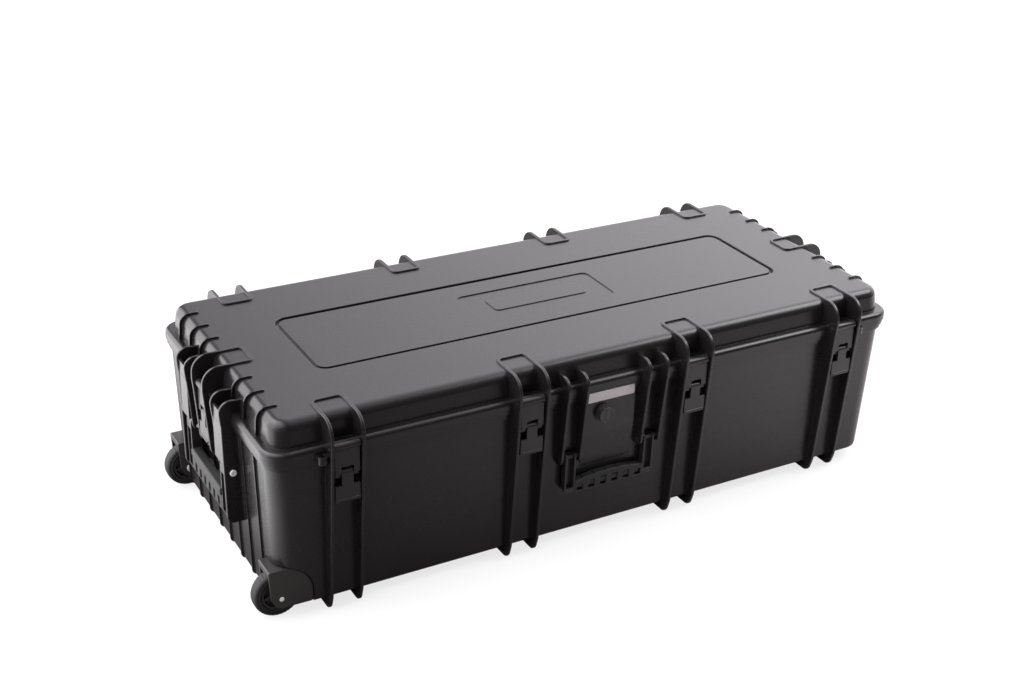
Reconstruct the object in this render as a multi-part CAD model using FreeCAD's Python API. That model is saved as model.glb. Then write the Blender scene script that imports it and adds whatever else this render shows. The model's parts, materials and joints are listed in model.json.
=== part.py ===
import FreeCAD, Part
import math
import os

# Long wheeled hard transport case.
# Millimetres. X runs along the case (the wheels are at -X), the latched front is at -Y, Z is up.
# Sizes are measured from the middle of the tub. ORIGIN_SHIFT then moves the whole case so that
# the origin is on the floor, under the middle of everything: the wheels reach a little further
# out at -X than the guard ribs do at +X, and the hinges further back than the guards forward.
#
# Everything on a side wall is drawn once, on the front wall, in (out, across, up):
# out is the distance from the case's middle plane towards -Y, across is +X.
# on_side() then turns it onto the front, back, left or right wall. The two end walls
# stand END_SHIFT further out than the front and the back.

V = FreeCAD.Vector

# --- driving dimensions -------------------------------------------------------------------
END_SHIFT = 289.0

BASE_BOTTOM = 16.0        # underside of the tub; the feet reach down to the floor
SEAM = 243.0              # top face of the base's rim
SEAM_GAP = 0.5
LID_SEAM = SEAM + SEAM_GAP
LID_TOP = 293.0
WALL = 4.0

FOOT_HALF = 208.0         # tub's half depth at its underside
SEAM_HALF = 214.5         # tub's half depth at the seam
LID_SEAM_HALF = 209.5     # lid's half depth at the seam
LID_TOP_HALF = 204.5
TUB_CORNER = 30.0
TUB_EDGE_ROUND = 6.0
LID_CORNER = 24.0
LID_EDGE_ROUND = 14.0
LID_ROOF = 6.0            # thickness of the lid's top
BADGE_SEAT = 2.2          # depth of the badge's seat in it

BEAD_HALF = 220.6         # rolled bead around the lid
BEAD_TOP = 258.0
RIM_HALF = 219.0          # stepped rim around the tub
RIM_STEP = 6.8
RIM_CORNER = 30.0

GROOVE_HALF = 211.5       # middle line of the gasket groove in the lid
GROOVE_WIDTH = 4.4
GROOVE_DEPTH = 4.0
GROOVE_CORNER = 27.0

GUARD_OUT = 237.0         # outermost reach of the guard ribs
GUARD_THICK = 4.5
GUARD_SPREAD = 21.6       # rib centres, either side of a latch or a hinge
LATCH_PLACES = [-406.6, -135.1, 135.1, 406.6]

HINGE_OUT = 234.0         # lid hinge axis, on the back
HINGE_UP = 243.25
HINGE_PIN_R = 2.5
BARREL_R = 6.0

LATCH_FACE = 231.5
LATCH_HALF = 17.5
LATCH_PIVOT = (228.5, 257.0)
LEVER_PIVOT = (226.5, 217.0)
LATCH_PIN_R = 2.0
LEVER_PIN_R = 1.5

FRONT_GUARDS = (51.0, 81.0)       # ribs either side of the carry handle
FRONT_ARM = (57.0, 74.0)
FRONT_PIVOT = (218.5, 146.0)
FRONT_RAIL_UP = 87.5
FRONT_GRIP_FACE = 224.0
FRONT_GRIP_TOP = 111.3
FRONT_GRIP_ARCH = 5.8     # rise of the grip's middle over its ends
FRONT_WINDOW_PITCH = 19.5
END_GUARDS = (55.0, 88.0)         # plates either side of a pull handle's arm
END_ARM = (61.0, 80.0)
END_PIVOT = (223.0, 169.5)
END_WINDOW_PITCH = 19.0
HANDLE_PIN_R = 3.0

END_FINS = (65.7, 109.6, 154.8)
FIN_THICK = 3.0

WHEEL_X = -494.0
WHEEL_Y = 186.0
WHEEL_R = 34.0
TYRE_WIDTH = 20.0
RIM_R = 23.5
AXLE_R = 3.3
HOUSING_X = -450.0        # inner end of the wheel housing
HOUSING_TOP = 79.0
HOUSING_ARCH = 43.0       # radius of its arch over the wheel
HOUSING_Y = (169.0, 207.0)
HOUSING_WALL = 4.0
HOUSING_SCREW_UP = 28.0
HOUSING_SCREWS = (177.0, 193.0)
WELL_GAP = 1.6            # around the housing, in the tub's corner
WELL_Y = 165.0

PANEL_FACE = 219.0        # raised front panel that carries the plate and the valve
PANEL_MIDDLE = -2.2
PANEL_HALF = 41.4
VALVE_ACROSS = -13.0
VALVE_UP = 204.2
VALVE_BORE_R = 6.0
KNOB_R = 12.3

PADLOCK_ACROSS = 437.5    # lugs beside the outermost guard ribs
PADLOCK_OUT = 225.2
PADLOCK_R = 3.5

ORIGIN_SHIFT = V(0.56, -1.06, 0)

FIXED_GAP = 0.02          # radial gap of a pin in a part it stays with
RUN_GAP = 0.06            # radial gap of a pin in a part that turns on it


# --- helpers ------------------------------------------------------------------------------
def box(x0, x1, y0, y1, z0, z1):
    """Block between two opposite corners."""
    return Part.makeBox(x1 - x0, y1 - y0, z1 - z0, V(x0, y0, z0))


def rod(start, end, radius):
    """Cylinder from one point to another."""
    start = V(*start)
    run = V(*end) - start
    return Part.makeCylinder(radius, run.Length, start, run)


def fuse(shapes):
    """One solid out of several that overlap."""
    return shapes[0].multiFuse(shapes[1:]).removeSplitter()


def fillet(shape, radius, wanted):
    """Round the edges for which wanted(edge) is true."""
    return shape.makeFillet(radius, [e for e in shape.Edges if wanted(e)])


def direction(edge):
    """Unit vector along an edge's middle."""
    return edge.tangentAt((edge.FirstParameter + edge.LastParameter) / 2)


def upright(edge):
    """True for the four corner edges of a block, drafted or not."""
    return abs(direction(edge).z) > 0.8


def level_at(z):
    """Test for edges that lie at one height."""
    return lambda e: abs(e.BoundBox.ZMin - z) < 0.01 and abs(e.BoundBox.ZMax - z) < 0.01


def drafted(low_half, z0, high_half, z1, corner, shift=END_SHIFT):
    """Block with drafted walls and rounded corners; its ends stand `shift` further out."""
    block = Part.makeWedge(
        -low_half - shift, z0, -low_half, -high_half, -high_half - shift,
        low_half + shift, z1, low_half, high_half, high_half + shift,
    )
    block.rotate(V(0, 0, 0), V(1, 0, 0), 90)
    return fillet(block, corner, upright)


def straight(half_y, z0, z1, corner, shift=END_SHIFT):
    """Block with upright walls and rounded corners."""
    block = box(-half_y - shift, half_y + shift, -half_y, half_y, z0, z1)
    return fillet(block, corner, upright)


def pad(x_half, y_half, z0, z1, corner):
    """Low rounded block around the origin, for plates and recesses."""
    return fillet(box(-x_half, x_half, -y_half, y_half, z0, z1), corner, upright)


def outline(corners, place):
    """Closed wire through corners (a, b, radius), each rounded by its own radius."""
    count = len(corners)
    starts = []
    ends = []
    middles = []
    for i in range(count):
        a, b, radius = corners[i]
        here = V(a, b, 0)
        back = (V(*corners[i - 1][:2], 0) - here).normalize()
        ahead = (V(*corners[(i + 1) % count][:2], 0) - here).normalize()
        half = back.getAngle(ahead) / 2
        cut = radius / math.tan(half)
        starts.append(here + back * cut)
        ends.append(here + ahead * cut)
        bisector = (back + ahead).normalize()
        middles.append(here + bisector * (radius / math.sin(half) - radius))
    edges = []
    for i in range(count):
        if corners[i][2] > 0:
            arc = Part.Arc(place(starts[i]), place(middles[i]), place(ends[i]))
            edges.append(arc.toShape())
        after = (i + 1) % count
        if (starts[after] - ends[i]).Length > 1e-4:
            edges.append(Part.LineSegment(place(ends[i]), place(starts[after])).toShape())
    return Part.Wire(edges)


def plate(corners, across, thick):
    """Upright plate on the front wall: outline in (out, up), centred at `across`."""
    wire = outline(corners, lambda p: V(across - thick / 2, -p.x, p.y))
    return Part.Face(wire).extrude(V(thick, 0, 0))


def front_block(across0, across1, out0, out1, up0, up1):
    """Block in the front wall's own directions."""
    return box(across0, across1, -out1, -out0, up0, up1)


def front_rod(across0, across1, pivot, radius):
    """Cylinder along the front wall, through the point (out, up)."""
    return rod((across0, -pivot[0], pivot[1]), (across1, -pivot[0], pivot[1]), radius)


def face_outline(corners, out, thick):
    """Flat piece parallel to the front wall: outline in (across, up), outer face at `out`."""
    wire = outline(corners, lambda p: V(p.x, -out, p.y))
    return Part.Face(wire).extrude(V(0, thick, 0))


SIDES = {
    "front": (0, 0.0), "right": (90, END_SHIFT), "back": (180, 0.0), "left": (-90, END_SHIFT),
}


def on_side(shape, side, across=0.0):
    """Copy of a piece drawn on the front wall, turned onto one of the four walls."""
    angle, shift = SIDES[side]
    piece = shape.copy()
    piece.translate(V(across, -shift, 0))
    piece.rotate(V(0, 0, 0), V(0, 0, 1), angle)
    return piece


def mirrored(shape):
    """Copy on the other side of the middle."""
    return shape.mirror(V(0, 0, 0), V(1, 0, 0))


def both_ways(shape):
    """A shape and its copy on the other side of the middle."""
    return [shape, mirrored(shape)]


def soften(piece, radius, out_limit):
    """Round the long edges of a guard rib, outside the shell's wall."""
    def outside(edge):
        bounds = edge.BoundBox
        return bounds.XLength < 0.01 and bounds.YMax < -out_limit
    return fillet(piece, radius, outside)


def wheel_sides():
    """-1 for the front wheel, 1 for the back one."""
    return (("front", -1), ("back", 1))


# --- guard ribs ---------------------------------------------------------------------------
def base_guard(across):
    """Full-height rib on the tub that ends in a foot under it."""
    corners = [
        (205, SEAM, 0), (236, SEAM, 0), (221, 25, 60), (213, 0, 14), (178, 0, 12),
        (160, BASE_BOTTOM + 2, 0), (205, BASE_BOTTOM + 2, 0),
    ]
    return soften(plate(corners, across, GUARD_THICK), 1.2, 216)


def short_guard(across, bottom, low_out):
    """Rib on the tub that ends above the floor, rounded back into the wall at `bottom`."""
    corners = [(205, SEAM, 0), (236, SEAM, 0), (low_out, bottom, 11), (205, bottom, 0)]
    return soften(plate(corners, across, GUARD_THICK), 1.2, 216)


def lid_guard(across):
    """Rib that runs from the lid's top over its edge and down to the seam."""
    corners = [
        (200, LID_SEAM, 0), (236, LID_SEAM, 0), (GUARD_OUT + 0.6, 262, 20), (236.5, 296, 25),
        (175, 295.5, 0), (175, 288, 0), (200, 288, 0),
    ]
    return soften(plate(corners, across, GUARD_THICK), 1.2, 216)


def lid_hook(across):
    """Short rib on the lid's wall, above a handle."""
    corners = [
        (200, LID_SEAM, 0), (236.5, LID_SEAM, 0), (239.5, 279, 17), (200, 276, 0),
    ]
    return soften(plate(corners, across, GUARD_THICK), 1.2, 214)


def lid_loop():
    """Raised U on the lid's top that joins a pair of guard ribs."""
    reach = GUARD_SPREAD + GUARD_THICK / 2
    room = GUARD_SPREAD - GUARD_THICK / 2
    outer = front_block(-reach, reach, 162, 212, 288, 295.5)
    inner = front_block(-room, room, 162 + GUARD_THICK, 220, 287, 297)

    def inner_corner(edge):
        return upright(edge) and edge.BoundBox.YMin > -170

    outer = fillet(outer, 9, inner_corner)
    inner = fillet(inner, 5, inner_corner)
    loop = outer.cut(inner)
    return fillet(loop, 1.0, level_at(295.5))


def hinge_knuckle(across0, across1, up0, up1, bore):
    """Barrel on the hinge axis with the arm that joins it to a rim."""
    barrel = front_rod(across0, across1, (HINGE_OUT, HINGE_UP), BARREL_R)
    arm = front_block(across0, across1, 208, HINGE_OUT, up0, up1)
    knuckle = fuse([barrel, arm])
    return knuckle.cut(front_rod(across0 - 1, across1 + 1, (HINGE_OUT, HINGE_UP), bore))


def hinge_reliefs():
    """Room around the hinge axis in the ribs beside the barrels, so that the lid can turn."""
    relief = front_rod(-26, 26, (HINGE_OUT, HINGE_UP), 5.0)
    keep = front_rod(-19.2, 19.2, (HINGE_OUT, HINGE_UP), 5.0)
    return [on_side(relief.cut(keep), "back", place) for place in LATCH_PLACES]


def padlock_lugs(up0, up1):
    """Lugs beside the outermost ribs; a shackle passes through the lid's and the base's."""
    lug = front_block(-7.2, 7.2, 205, 231, up0, up1)
    lug = fillet(lug, 6.0, lambda e: upright(e) and e.BoundBox.YMax < -230)
    return both_ways(on_side(lug, "front", PADLOCK_ACROSS))


def padlock_holes():
    """Room for the shackles through the lugs."""
    hole = rod((PADLOCK_ACROSS, -PADLOCK_OUT, 220), (PADLOCK_ACROSS, -PADLOCK_OUT, 262), PADLOCK_R)
    return both_ways(hole)


# --- base shell ---------------------------------------------------------------------------
def wheel_well(side, grow):
    """Corner of the tub that the wheel takes up, grown by a wall for the inside."""
    inner = HOUSING_X + WELL_GAP + grow
    top = HOUSING_TOP + WELL_GAP + grow
    corners = [(-560, -10, 0), (-560, top, 0), (inner, top, HOUSING_ARCH + WELL_GAP + grow), (inner, -10, 0)]
    wire = outline(corners, lambda p: V(p.x, side * (WELL_Y - grow), p.y))
    return Part.Face(wire).extrude(V(0, side * 80, 0))


def tub_outside():
    """The tub with its stepped rim, before ribs and hollow."""
    body = drafted(FOOT_HALF, BASE_BOTTOM, SEAM_HALF, SEAM, TUB_CORNER)
    body = fillet(body, TUB_EDGE_ROUND, level_at(BASE_BOTTOM))
    upper = straight(RIM_HALF, SEAM - RIM_STEP, SEAM, RIM_CORNER)
    upper = fillet(upper, 0.6, level_at(SEAM - RIM_STEP))
    lower = straight(RIM_HALF - 2.5, SEAM - 2 * RIM_STEP, SEAM - RIM_STEP, RIM_CORNER - 2)
    lower = fillet(lower, 0.6, level_at(SEAM - 2 * RIM_STEP))
    return body, upper, lower


def tub_hollow():
    """Inside of the tub, less the bumps of the two wheel wells."""
    low = FOOT_HALF - WALL
    high = SEAM_HALF - WALL
    hollow = drafted(low, BASE_BOTTOM + WALL, high, SEAM + 0.1, TUB_CORNER - WALL)
    for _, side in wheel_sides():
        hollow = hollow.cut(wheel_well(side, WALL))
    return hollow


def front_panel():
    """Raised panel between the handle guards; it fades into the wall below."""
    corners = [
        (205, SEAM, 0), (PANEL_FACE, SEAM, 0), (PANEL_FACE, 172, 30),
        (211, 120, 0), (205, 120, 0),
    ]
    return plate(corners, PANEL_MIDDLE, 2 * PANEL_HALF)


def end_bridges(up0, up1):
    """Panels that join the two plates of each guard beside an end handle."""
    inner, outer = END_GUARDS
    return both_ways(front_block(inner, outer, 231.0, 235.0, up0, up1))


def end_fin(across):
    """Shallow fin down the tub's end wall, turned under its bottom edge."""
    corners = [
        (205, SEAM - 12, 0), (217, SEAM - 12, 0), (210.4, 15, 7), (196, 15, 0), (196, 20, 0), (205, 20, 0),
    ]
    return plate(corners, across, FIN_THICK)


def base_shell():
    """Tub, rim, guard ribs, feet, hinge knuckles, latch catches and padlock lugs."""
    pieces = list(tub_outside())
    for side in ("front", "back"):
        for place in LATCH_PLACES:
            for way in (-1, 1):
                pieces.append(on_side(base_guard(way * GUARD_SPREAD), side, place))
    catch = front_block(-LATCH_HALF - 3, LATCH_HALF + 3, 208, 222.7, 196, 204)
    catch = fillet(catch, 1.5, lambda e: e.BoundBox.YMax < -222 and e.BoundBox.ZLength < 0.01)
    for place in LATCH_PLACES:
        pieces.append(on_side(catch, "front", place))
        for ends in ((-19.0, -7.0), (7.0, 19.0)):
            arm = hinge_knuckle(*ends, 232, SEAM - 0.1, HINGE_PIN_R + FIXED_GAP)
            pieces.append(on_side(arm, "back", place))
    for across in FRONT_GUARDS:
        pieces += both_ways(short_guard(across, 136, 225))
    pieces.append(front_panel())
    pieces += padlock_lugs(236, SEAM)
    inner, outer = END_GUARDS
    end_pieces = [catch] + end_bridges(182, SEAM)
    end_pieces += both_ways(short_guard(GUARD_SPREAD, 163, 230.5))
    end_pieces += both_ways(short_guard(inner, 163, 230.5))
    end_pieces += both_ways(short_guard(outer, 91, 234.5))
    for across in (GUARD_SPREAD,) + END_FINS:
        end_pieces += both_ways(end_fin(across))
    for side in ("left", "right"):
        pieces += [on_side(piece, side) for piece in end_pieces]
    shell = pieces[0].multiFuse(pieces[1:])
    shell = shell.cut(tub_hollow())
    return finish_base(shell)


def finish_base(shell):
    """Wheel wells, pin holes, valve bore and the ridge that presses the gasket."""
    tools = hinge_reliefs() + padlock_holes()
    for _, side in wheel_sides():
        tools.append(wheel_well(side, 0))
        for start, end in housing_screw_lines(side):
            tools.append(rod(start, end, 2.0 + FIXED_GAP))
    inner, outer = FRONT_GUARDS
    pin_hole = front_rod(inner - 3, outer + 3, FRONT_PIVOT, HANDLE_PIN_R + FIXED_GAP)
    tools += both_ways(pin_hole)
    inner, outer = END_GUARDS
    pin_hole = front_rod(inner - 3, outer + 3, END_PIVOT, HANDLE_PIN_R + FIXED_GAP)
    turning_room = front_rod(END_ARM[0] - 1.5, END_ARM[1] + 1.5, END_PIVOT, 9.6)
    for side in ("left", "right"):
        tools += [on_side(tool, side) for tool in both_ways(pin_hole) + both_ways(turning_room)]
    tools.append(valve_rod(190, 240, VALVE_BORE_R + FIXED_GAP))
    shell = shell.cut(Part.makeCompound(tools))
    ridge = straight(GROOVE_HALF + 1, SEAM - 1, SEAM + 1.2, GROOVE_CORNER + 1)
    ridge = ridge.cut(straight(GROOVE_HALF - 1, SEAM - 2, SEAM + 2, GROOVE_CORNER - 1))
    return shell.fuse(ridge).removeSplitter()


# --- lid shell ----------------------------------------------------------------------------
def lid_outside():
    """The lid with its rolled bead and its recessed top, before ribs and hollow."""
    body = drafted(LID_SEAM_HALF, LID_SEAM, LID_TOP_HALF, LID_TOP, LID_CORNER)
    body = fillet(body, LID_EDGE_ROUND, level_at(LID_TOP))
    for tool in lid_recess():
        body = body.cut(tool)

    def recess_edge(edge):
        return level_at(LID_TOP)(edge) and abs(edge.CenterOfMass.x) < 387 and abs(edge.CenterOfMass.y) < 88

    body = fillet(body, 1.0, recess_edge)
    bead = straight(BEAD_HALF, LID_SEAM, BEAD_TOP, RIM_CORNER + 1)
    bead = fillet(bead, 6.5, level_at(BEAD_TOP))
    return body, bead


def lid_hollow():
    """Inside of the lid."""
    low = LID_SEAM_HALF - WALL
    high = LID_TOP_HALF - WALL
    top = LID_TOP - LID_ROOF
    hollow = drafted(low, LID_SEAM - 0.1, high, top, LID_CORNER - WALL)
    return fillet(hollow, 5.0, level_at(top))


def lid_fin(across):
    """Thin fin over the lid's end edge."""
    corners = [
        (200, 255, 0), (212.5, 255, 0), (209.5, LID_TOP + 2.5, 16),
        (181, LID_TOP + 2.5, 3), (181, 288, 0), (200, 288, 0),
    ]
    return plate(corners, across, FIN_THICK)


def lid_recess():
    """Shallow panel in the lid's top, with a moat around it, and the badge's seat."""
    panel = pad(386, 87.7, LID_TOP - 0.8, LID_TOP + 1, 20)
    moat = pad(386, 87.7, LID_TOP - 4.2, LID_TOP, 20)
    moat = moat.cut(pad(380, 81.7, LID_TOP - 5, LID_TOP + 1, 14))
    seat = pad(113, 44.5, LID_TOP - BADGE_SEAT, LID_TOP, 10)
    return [panel, moat, seat]


def lid_shell():
    """Lid, bead, guard ribs, end fins, hinge knuckles and padlock lugs."""
    pieces = list(lid_outside())
    for side, places in (("front", LATCH_PLACES), ("back", LATCH_PLACES), ("left", [0]), ("right", [0])):
        for place in places:
            for way in (-1, 1):
                pieces.append(on_side(lid_guard(way * GUARD_SPREAD), side, place))
            pieces.append(on_side(lid_loop(), side, place))
    for place in LATCH_PLACES:
        arm = hinge_knuckle(-6.6, 6.6, LID_SEAM + 0.1, 253, HINGE_PIN_R + RUN_GAP)
        pieces.append(on_side(arm, "back", place))
    for across in FRONT_GUARDS:
        pieces += both_ways(lid_hook(across))
    pieces += padlock_lugs(LID_SEAM, 247)
    end_pieces = end_bridges(LID_SEAM, 262)
    for across in END_GUARDS:
        end_pieces += both_ways(lid_hook(across))
    for across in END_FINS:
        end_pieces += both_ways(lid_fin(across))
    for side in ("left", "right"):
        pieces += [on_side(piece, side) for piece in end_pieces]
    shell = pieces[0].multiFuse(pieces[1:])
    groove = groove_ring(GROOVE_WIDTH / 2, LID_SEAM - 1, LID_SEAM + GROOVE_DEPTH)
    tools = [lid_hollow(), groove] + hinge_reliefs() + padlock_holes()
    for side, place in latch_seats():
        tools.append(on_side(front_rod(-26, 26, LATCH_PIVOT, LATCH_PIN_R + FIXED_GAP), side, place))
    for tool in tools:
        shell = shell.cut(tool)
    return shell.removeSplitter()


def groove_ring(half_width, low, high):
    """Ring that follows the gasket groove's middle line."""
    ring = straight(GROOVE_HALF + half_width, low, high, GROOVE_CORNER + half_width)
    hole = straight(GROOVE_HALF - half_width, low - 1, high + 1, GROOVE_CORNER - half_width)
    return ring.cut(hole)


def lid_gasket():
    """Soft ring seated in the lid's groove."""
    top = LID_SEAM + GROOVE_DEPTH
    return groove_ring(GROOVE_WIDTH / 2 - 0.1, top - 2.6, top)


def hinge_pins():
    """One pin per hinge."""
    pin = front_rod(-19, 19, (HINGE_OUT, HINGE_UP), HINGE_PIN_R)
    return [on_side(pin, "back", place) for place in LATCH_PLACES]


# --- latches ------------------------------------------------------------------------------
def latch_seats():
    """Wall and place of each latch."""
    return [("front", place) for place in LATCH_PLACES] + [("left", 0), ("right", 0)]


def latch_plate():
    """Upper plate: a roll on the lid's pin, and two ears that hold the lever's pin."""
    roll = front_rod(-LATCH_HALF, LATCH_HALF, LATCH_PIVOT, 5.5)
    sheet = front_block(-LATCH_HALF, LATCH_HALF, LATCH_FACE - 4, LATCH_FACE, 217, LATCH_PIVOT[1])
    sheet = fillet(sheet, 0.8, lambda e: e.BoundBox.YMax < -LATCH_FACE + 0.01)
    notch_corners = [(-8.8, 210, 0), (8.8, 210, 0), (8.8, 228, 2), (-8.8, 228, 2)]
    notch = face_outline(notch_corners, LATCH_FACE + 1, 6)
    ears = [front_block(a, a + 7.2, 222.6, 229, 211.8, 226) for a in (-16.4, 9.2)]
    body = fuse([roll, sheet.cut(notch)] + ears)
    body = body.cut(front_rod(-20, 20, LATCH_PIVOT, LATCH_PIN_R + RUN_GAP))
    return body.cut(front_rod(-20, 20, LEVER_PIVOT, LEVER_PIN_R + FIXED_GAP))


def latch_lever():
    """Lower T: a tongue on the lever's pin, a pull plate, and the hook behind it."""
    tongue = front_rod(-8, 8, LEVER_PIVOT, LATCH_FACE - LEVER_PIVOT[0])
    neck = front_block(-8, 8, LATCH_FACE - 4.5, LATCH_FACE, 195, LEVER_PIVOT[1])
    half = LATCH_HALF
    pull_corners = [(-half, 175, 2.5), (half, 175, 2.5), (half, 200, 1.5), (-half, 200, 1.5)]
    pull = face_outline(pull_corners, LATCH_FACE, 4.5)
    pull = fillet(pull, 0.8, lambda e: e.BoundBox.YMax < -LATCH_FACE + 0.01)
    lip = front_rod(-half + 3, half - 3, (LATCH_FACE - 0.5, 178.5), 1.8)
    hook = front_block(-12, 12, 223.2, LATCH_FACE - 4, 188, 193)
    body = fuse([tongue, neck, pull, lip, hook])
    return body.cut(front_rod(-10, 10, LEVER_PIVOT, LEVER_PIN_R + RUN_GAP))


def latch_parts():
    """Every latch's plate, lever and lever pin, and the pins that hold them all on the lid."""
    nodes = {}
    lid_pins = []
    for number, (side, place) in enumerate(latch_seats(), start=1):
        name = f"{side}_{number}" if side == "front" else side
        nodes[f"latch_plate_{name}"] = on_side(latch_plate(), side, place)
        nodes[f"latch_lever_{name}"] = on_side(latch_lever(), side, place)
        pin = front_rod(-16.4, 16.4, LEVER_PIVOT, LEVER_PIN_R)
        nodes[f"latch_lever_pin_{name}"] = on_side(pin, side, place)
        lid_pins.append(on_side(front_rod(-23.6, 23.6, LATCH_PIVOT, LATCH_PIN_R), side, place))
    nodes["latch_hinge_pins"] = lid_pins
    return nodes


# --- handles ------------------------------------------------------------------------------
def arched(reach, out0, out1, low, high):
    """Bar across the front; `low` and `high` give its lower and upper edge as (end, middle)."""
    def edge(heights):
        ends = [V(way * reach, -out1, heights[0]) for way in (-1, 1)]
        if heights[0] == heights[1]:
            return Part.LineSegment(*ends).toShape()
        return Part.Arc(ends[0], V(0, -out1, heights[1]), ends[1]).toShape()

    edges = [edge(low), edge(high)]
    for way in (-1, 1):
        bottom = V(way * reach, -out1, low[0])
        top = V(way * reach, -out1, high[0])
        edges.append(Part.LineSegment(bottom, top).toShape())
    wire = Part.Wire(Part.__sortEdges__(edges))
    return Part.Face(wire).extrude(V(0, out1 - out0, 0))


def front_arm():
    """Channel arm of the carry handle, open to the front, with a rounded outer corner."""
    low, high = FRONT_ARM
    out, up = FRONT_PIVOT
    bottom = FRONT_RAIL_UP
    top = up + 6
    side_view = [(out - 5, bottom, 3), (out + 5, bottom, 3), (out + 5, top, 4.9), (out - 5, top, 4.9)]
    front_view = [(low, bottom, 0), (high, bottom, 8.5), (high, top, 0), (low, top, 0)]
    arm = plate(side_view, (low + high) / 2, high - low)
    arm = arm.common(face_outline(front_view, out + 6, 12))
    arm = arm.cut(front_block(low + 2.5, high - 2.5, out - 2.5, out + 6, bottom + 9, top + 1))
    return arm.cut(front_rod(low - 1, high + 1, FRONT_PIVOT, HANDLE_PIN_R + RUN_GAP))


def front_rail(grow):
    """Arched rail inside the grip, or the room for it when grown."""
    out = FRONT_PIVOT[0]
    low = (101.8 - grow, 105.4 - grow)
    high = (103.8 + grow, 108.6 + grow)
    return arched(FRONT_ARM[0] + 1, out - 3 - grow, out + 2 + grow, low, high)


def front_handle_frame():
    """Two arms joined by a thin lower rail and the arched rail that carries the grip."""
    arm = front_arm()
    reach = FRONT_ARM[0] + 1
    out = FRONT_PIVOT[0]
    lower = front_block(-reach, reach, out - 2, out + 5, FRONT_RAIL_UP, FRONT_RAIL_UP + 1.8)
    return fuse([arm, mirrored(arm), lower, front_rail(0)])


def front_windows():
    """Middles of the carry handle's six windows."""
    return [(step - 2.5) * FRONT_WINDOW_PITCH for step in range(6)]


def grip_top(across):
    """Height of the carry grip's arched top."""
    return FRONT_GRIP_TOP - FRONT_GRIP_ARCH * (across / FRONT_ARM[0]) ** 2


def front_handle_grip():
    """Soft grip moulded around the arched rail, with six windows and grooves across its top."""
    reach = FRONT_ARM[0] - 0.05
    low = FRONT_RAIL_UP + 1.85
    top = (FRONT_GRIP_TOP - FRONT_GRIP_ARCH, FRONT_GRIP_TOP)
    grip = arched(reach, FRONT_GRIP_FACE - 12, FRONT_GRIP_FACE, (low, low), top)
    grip = fillet(grip, 1.8, lambda e: e.BoundBox.ZMax > top[1] - 0.5 and e.BoundBox.XLength > reach)
    behind_posts = front_block(-60, 60, 205, FRONT_GRIP_FACE - 3.5, low - 1, 99)
    cutters = [front_rail(0.05), behind_posts]
    for middle in front_windows():
        seam = middle + 4.7
        cutters.append(front_block(middle - 5, middle + 5, 205, 230, low - 1, grip_top(middle) - 7.7))
        cutters.append(front_block(seam - 0.8, seam + 0.8, 205, 230, grip_top(seam) - 1.6, 115))
    return grip.cut(Part.makeCompound(cutters))


def end_arm():
    """Arm of a pull handle, hung between two guard plates."""
    low, high = END_ARM
    middle = (low + high) / 2
    out, up = END_PIVOT
    top = up + 8.5
    corners = [(out - 4, 95, 3), (out + 8.5, 95, 3), (out + 8.5, top, 8.4), (out - 4, top, 4)]
    arm = plate(corners, middle, high - low)
    channel = front_block(low + 3, high - 3, out + 3.5, out + 10, 99, up - 9)
    arm = arm.cut(channel)
    return arm.cut(front_rod(low - 1, high + 1, END_PIVOT, HANDLE_PIN_R + RUN_GAP))


def end_handle_frame():
    """Two arms and the bar that carries the grip."""
    arm = end_arm()
    low = END_ARM[0] + 1
    bar = front_block(-low, low, 221, 228, 95, 128)
    bar = bar.cut(Part.makeCompound(end_windows()))
    return fuse([arm, mirrored(arm), bar])


def end_windows():
    """Room for the six windows through the bar and its grip."""
    middles = [(step - 2.5) * END_WINDOW_PITCH for step in range(6)]
    return [front_block(middle - 3.6, middle + 3.6, 215, 240, 98, 113) for middle in middles]


def end_handle_grip():
    """Soft face over the bar, with a rounded top edge and the same windows."""
    reach = END_ARM[0] - 0.05
    corners = [
        (228, 96, 0), (232, 96, 2), (232, 120, 2), (234, 122, 0.8), (234, 132, 3),
        (219, 132, 3), (219, 128.05, 0), (228, 128.05, 0),
    ]
    grip = plate(corners, 0, 2 * reach)
    grooves = []
    for step in range(13):
        middle = (step - 6) * END_WINDOW_PITCH / 2
        grooves.append(front_block(middle - 0.6, middle + 0.6, 215, 240, 131, 135))
    return grip.cut(Part.makeCompound(end_windows() + grooves))


def front_handle_pins():
    """Pins of the carry handle, held in the guard ribs."""
    inner, outer = FRONT_GUARDS
    half = GUARD_THICK / 2
    return both_ways(front_rod(inner - half, outer + half, FRONT_PIVOT, HANDLE_PIN_R))


def end_handle_screws():
    """Shoulder screws of the pull handles: a bright head on each outer guard plate."""
    inner, outer = END_GUARDS
    half = GUARD_THICK / 2
    face = outer + half
    shank = front_rod(inner - half, face + 0.5, END_PIVOT, HANDLE_PIN_R)
    head = front_rod(face, face + 2.4, END_PIVOT, 4.7)
    head = fillet(head, 1.0, lambda e: e.BoundBox.XMin > face + 2.3)
    slot = front_rod(face + 1.2, face + 4, END_PIVOT, 1.7)
    screw = fuse([shank, head]).cut(slot)
    return [on_side(copy, side) for side in ("left", "right") for copy in both_ways(screw)]


# --- wheels -------------------------------------------------------------------------------
def wheel_rod(y0, y1, radius):
    """Cylinder on the wheels' axis."""
    return rod((WHEEL_X, y0, WHEEL_R), (WHEEL_X, y1, WHEEL_R), radius)


def tyre(side):
    """Rubber tyre with rounded shoulders."""
    y0 = side * WHEEL_Y - TYRE_WIDTH / 2
    y1 = y0 + TYRE_WIDTH
    ring = wheel_rod(y0, y1, WHEEL_R)
    ring = fillet(ring, 4.5, lambda e: e.BoundBox.YLength < 0.01)
    return ring.cut(wheel_rod(y0 - 1, y1 + 1, RIM_R))


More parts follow.
